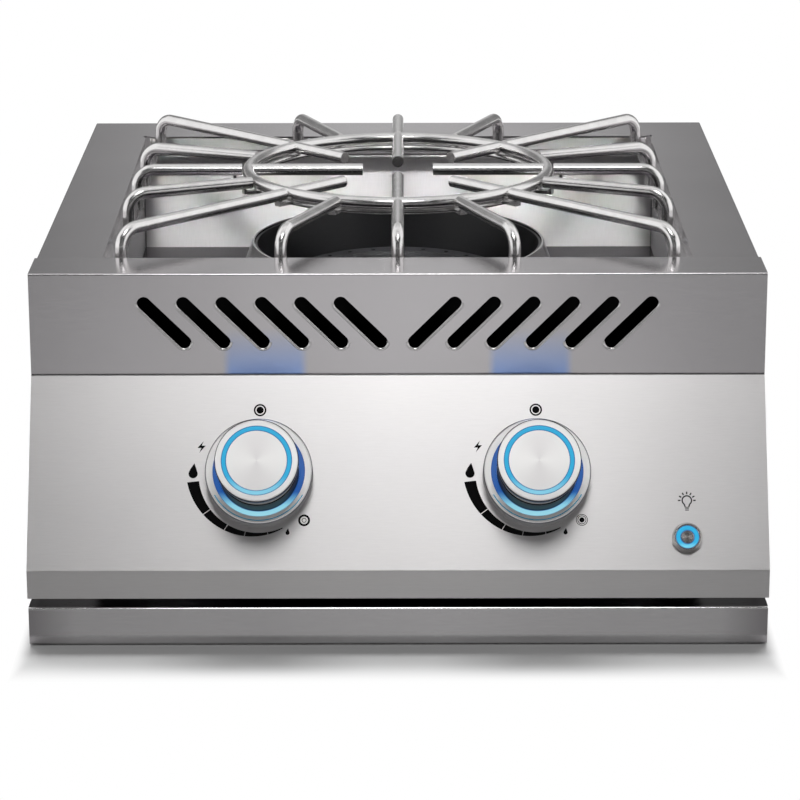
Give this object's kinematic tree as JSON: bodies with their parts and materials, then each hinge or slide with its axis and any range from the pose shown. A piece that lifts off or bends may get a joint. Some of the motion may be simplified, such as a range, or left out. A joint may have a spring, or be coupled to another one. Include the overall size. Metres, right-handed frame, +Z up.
{
  "type": "power burner",
  "caption": "Stainless built-in gas power burner with a wire grate and wok ring over a deep well, a sloping panel with lit knobs, and a pull-out drip tray.",
  "frame": {"origin": "on the burner's axis, in the plane the unit stands on", "axes": "+X to the right seen from the front, +Y to the back, +Z up"},
  "size_m": [0.4572, 0.544, 0.2425],
  "materials": {
    "brushed_front": "brushed along X",
    "satin_steel": "satin",
    "polished_wire": "polished",
    "black_enamel": "satin enamel",
    "cast_burner": "as cast",
    "plated_steel": "plated",
    "brass": "machined",
    "black_plastic": "matte",
    "turned_metal": "turned satin",
    "lit_ring": "lit translucent",
    "white_ceramic": "glazed"
  },
  "bodies": {
    "burner_box": {"base_pan": "satin_steel", "side_wall_left": "satin_steel", "side_wall_right": "satin_steel", "rear_wall": "satin_steel", "front_wall": "satin_steel", "well_floor": "satin_steel", "top_deck": "brushed_front", "vent_fascia": "brushed_front", "control_panel": "brushed_front", "ledge_screws": "plated_steel", "floor_screws": "plated_steel", "tray_runner_left": "satin_steel", "tray_runner_right": "satin_steel", "flame_guard": "satin_steel", "burner_bowl": "black_enamel", "bowl_floor": "black_enamel", "ring_burner": "cast_burner", "inner_burner": "cast_burner", "burner_cap": "cast_burner", "ring_mixing_tube": "plated_steel", "inner_mixing_tube": "plated_steel", "ring_air_shutter": "plated_steel", "inner_air_shutter": "plated_steel", "gas_pipe": "plated_steel", "inlet_fitting": "brass", "valve_bracket": "satin_steel", "valve_body_left": "brass", "valve_body_right": "brass", "orifice_left": "brass", "orifice_right": "brass", "bezel_left": "turned_metal", "bezel_right": "turned_metal", "bezel_light_ring_left": "lit_ring", "bezel_light_ring_right": "lit_ring", "switch_body": "turned_metal", "switch_light_ring": "lit_ring", "switch_nut": "plated_steel", "spark_module": "black_plastic", "ring_electrode": "white_ceramic", "inner_electrode": "white_ceramic"},
    "plug_left": {"valve_plug_left": "brass"},
    "knob_left": {"valve_stem_left": "plated_steel", "knob_skirt_left": "black_plastic", "knob_cap_left": "turned_metal", "knob_light_ring_left": "lit_ring"},
    "plug_right": {"valve_plug_right": "brass"},
    "knob_right": {"valve_stem_right": "plated_steel", "knob_skirt_right": "black_plastic", "knob_cap_right": "turned_metal", "knob_light_ring_right": "lit_ring"},
    "light_button": {"switch_button": "turned_metal"},
    "drip_tray": {"tray_pan": "satin_steel", "tray_walls": "satin_steel", "tray_rims": "satin_steel", "tray_front": "brushed_front"},
    "grate": {"grate_rods": "polished_wire", "grate_ring": "polished_wire"},
    "wok_ring": {"wok_hoop": "polished_wire", "wok_fingers": "polished_wire"}
  },
  "joints": [
    {"name": "knob_left_turn", "type": "hinge", "parent": "burner_box", "child": "plug_left", "pos_m": [-0.0857, -0.25733, 0.10264], "axis": [0, -0.8707, 0.4918], "range_deg": [0, 208]},
    {"name": "knob_left_push", "type": "slide", "parent": "plug_left", "child": "knob_left", "axis": [0, 0.8707, -0.4918], "range_m": [0, 0.0035], "stiffness_N_per_m": 2000, "springref_m": -0.002},
    {"name": "knob_right_turn", "type": "hinge", "parent": "burner_box", "child": "plug_right", "pos_m": [0.0857, -0.25733, 0.10264], "axis": [0, -0.8707, 0.4918], "range_deg": [0, 208]},
    {"name": "knob_right_push", "type": "slide", "parent": "plug_right", "child": "knob_right", "axis": [0, 0.8707, -0.4918], "range_m": [0, 0.0035], "stiffness_N_per_m": 2000, "springref_m": -0.002},
    {"name": "light_push", "type": "slide", "parent": "burner_box", "child": "light_button", "axis": [0, 0.8707, -0.4918], "range_m": [0, 0.0015], "stiffness_N_per_m": 1500, "springref_m": -0.001},
    {"name": "tray_slide", "type": "slide", "parent": "burner_box", "child": "drip_tray", "axis": [0, -1, 0], "range_m": [0, 0.4]},
    {"name": "grate_lift", "type": "slide", "parent": "burner_box", "child": "grate", "axis": [0, 0, 1], "range_m": [0, 0.06]},
    {"name": "wok_ring_lift", "type": "slide", "parent": "grate", "child": "wok_ring", "axis": [0, 0, 1], "range_m": [0, 0.06]}
  ]
}
